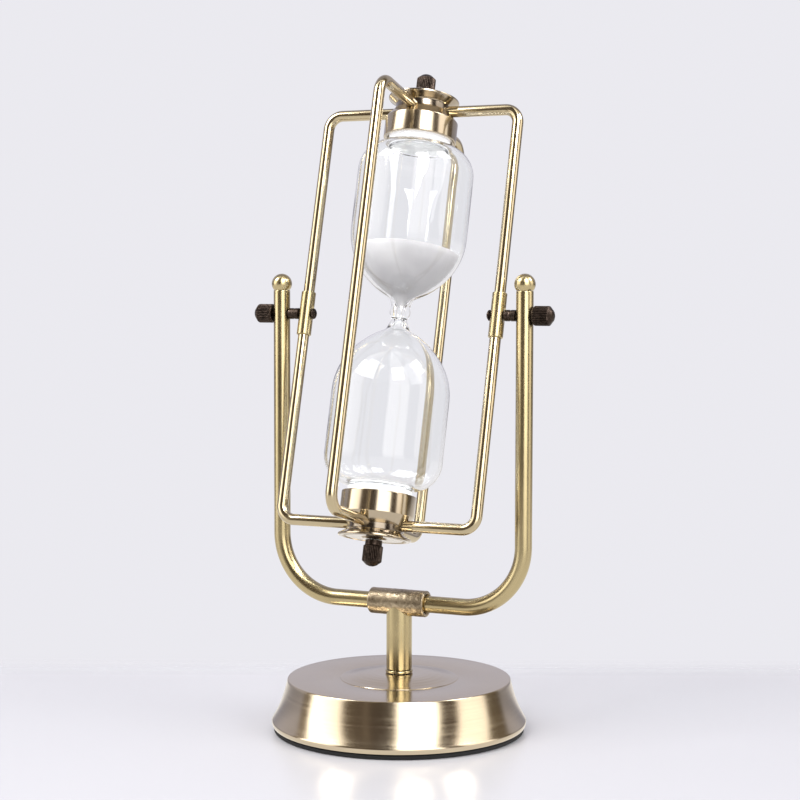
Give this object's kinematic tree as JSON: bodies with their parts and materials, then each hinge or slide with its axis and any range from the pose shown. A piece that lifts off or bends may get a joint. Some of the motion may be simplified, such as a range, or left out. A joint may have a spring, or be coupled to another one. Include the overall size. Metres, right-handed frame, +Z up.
{
  "type": "hourglass",
  "caption": "Brass flip-over hourglass: a sand glass in a cage of bent rods that turns end over end between the posts of a U-shaped yoke on a round weighted base.",
  "frame": {"origin": "centre of the bounding box's bottom, which is the centre of the underside of the round base pad", "axes": "+Z up; X along the cage's turning axis, from the left post to the right post; the front faces -Y and the cage's top leans back towards +Y"},
  "size_m": [0.1448, 0.1408, 0.294],
  "materials": {
    "satin_brass": "satin, finely brushed round the turned faces",
    "brushed_brass": "brushed, antiqued darker in the grain",
    "polished_brass": "bright drawn rod",
    "dark_bronze": "blackened bronze",
    "aged_bronze": "cast, matt and dark with age",
    "zinc_steel": "zinc plated",
    "iron": "rough cast",
    "clear_glass": "clear, blown",
    "white_sand": "fine white sand",
    "white_foam": "closed-cell foam",
    "black_foam": "closed-cell foam"
  },
  "bodies": {
    "stand": {"base_pad": "black_foam", "base_shell": "satin_brass", "base_weight": "iron", "base_bolt": "zinc_steel", "base_washer": "zinc_steel", "stem_washer": "brushed_brass", "stem": "brushed_brass", "collar_screw": "zinc_steel", "yoke_collar": "aged_bronze", "yoke_tube": "brushed_brass", "left_ball_finial": "brushed_brass", "right_ball_finial": "brushed_brass", "left_pivot_screw": "dark_bronze", "right_pivot_screw": "dark_bronze", "left_spacer": "dark_bronze", "right_spacer": "dark_bronze"},
    "cage": {"left_pivot_sleeve": "brushed_brass", "right_pivot_sleeve": "brushed_brass", "left_upper_rod": "polished_brass", "right_upper_rod": "polished_brass", "left_lower_rod": "polished_brass", "right_lower_rod": "polished_brass", "front_rod": "polished_brass", "back_rod": "polished_brass", "top_hub": "satin_brass", "bottom_hub": "satin_brass", "top_cup": "satin_brass", "bottom_cup": "satin_brass", "top_flange": "satin_brass", "bottom_flange": "satin_brass", "top_cap_screw": "zinc_steel", "bottom_cap_screw": "zinc_steel", "top_pad": "white_foam", "bottom_pad": "white_foam", "upper_bulb": "clear_glass", "lower_bulb": "clear_glass", "fill_plug": "white_foam", "sand": "white_sand"},
    "left_nut": {"left_thumb_nut": "dark_bronze"},
    "right_nut": {"right_thumb_nut": "dark_bronze"},
    "top_nut": {"top_cap_nut": "dark_bronze"},
    "bottom_nut": {"bottom_cap_nut": "dark_bronze"}
  },
  "joints": [
    {"name": "cage_turn", "type": "hinge", "parent": "stand", "child": "cage", "pos_m": [0, 0, 0.1856], "axis": [1, 0, 0], "continuous": true},
    {"name": "left_nut_turn", "type": "hinge", "parent": "stand", "child": "left_nut", "pos_m": [-0.068, 0, 0.1856], "axis": [-1, 0, 0], "continuous": true},
    {"name": "right_nut_turn", "type": "hinge", "parent": "stand", "child": "right_nut", "pos_m": [0.068, 0, 0.1856], "axis": [1, 0, 0], "continuous": true},
    {"name": "top_nut_turn", "type": "hinge", "parent": "cage", "child": "top_nut", "pos_m": [0, 0, 0.1856], "axis": [0, 0.2639, 0.9646], "continuous": true},
    {"name": "bottom_nut_turn", "type": "hinge", "parent": "cage", "child": "bottom_nut", "pos_m": [0, 0, 0.1856], "axis": [0, -0.2639, -0.9646], "continuous": true}
  ]
}
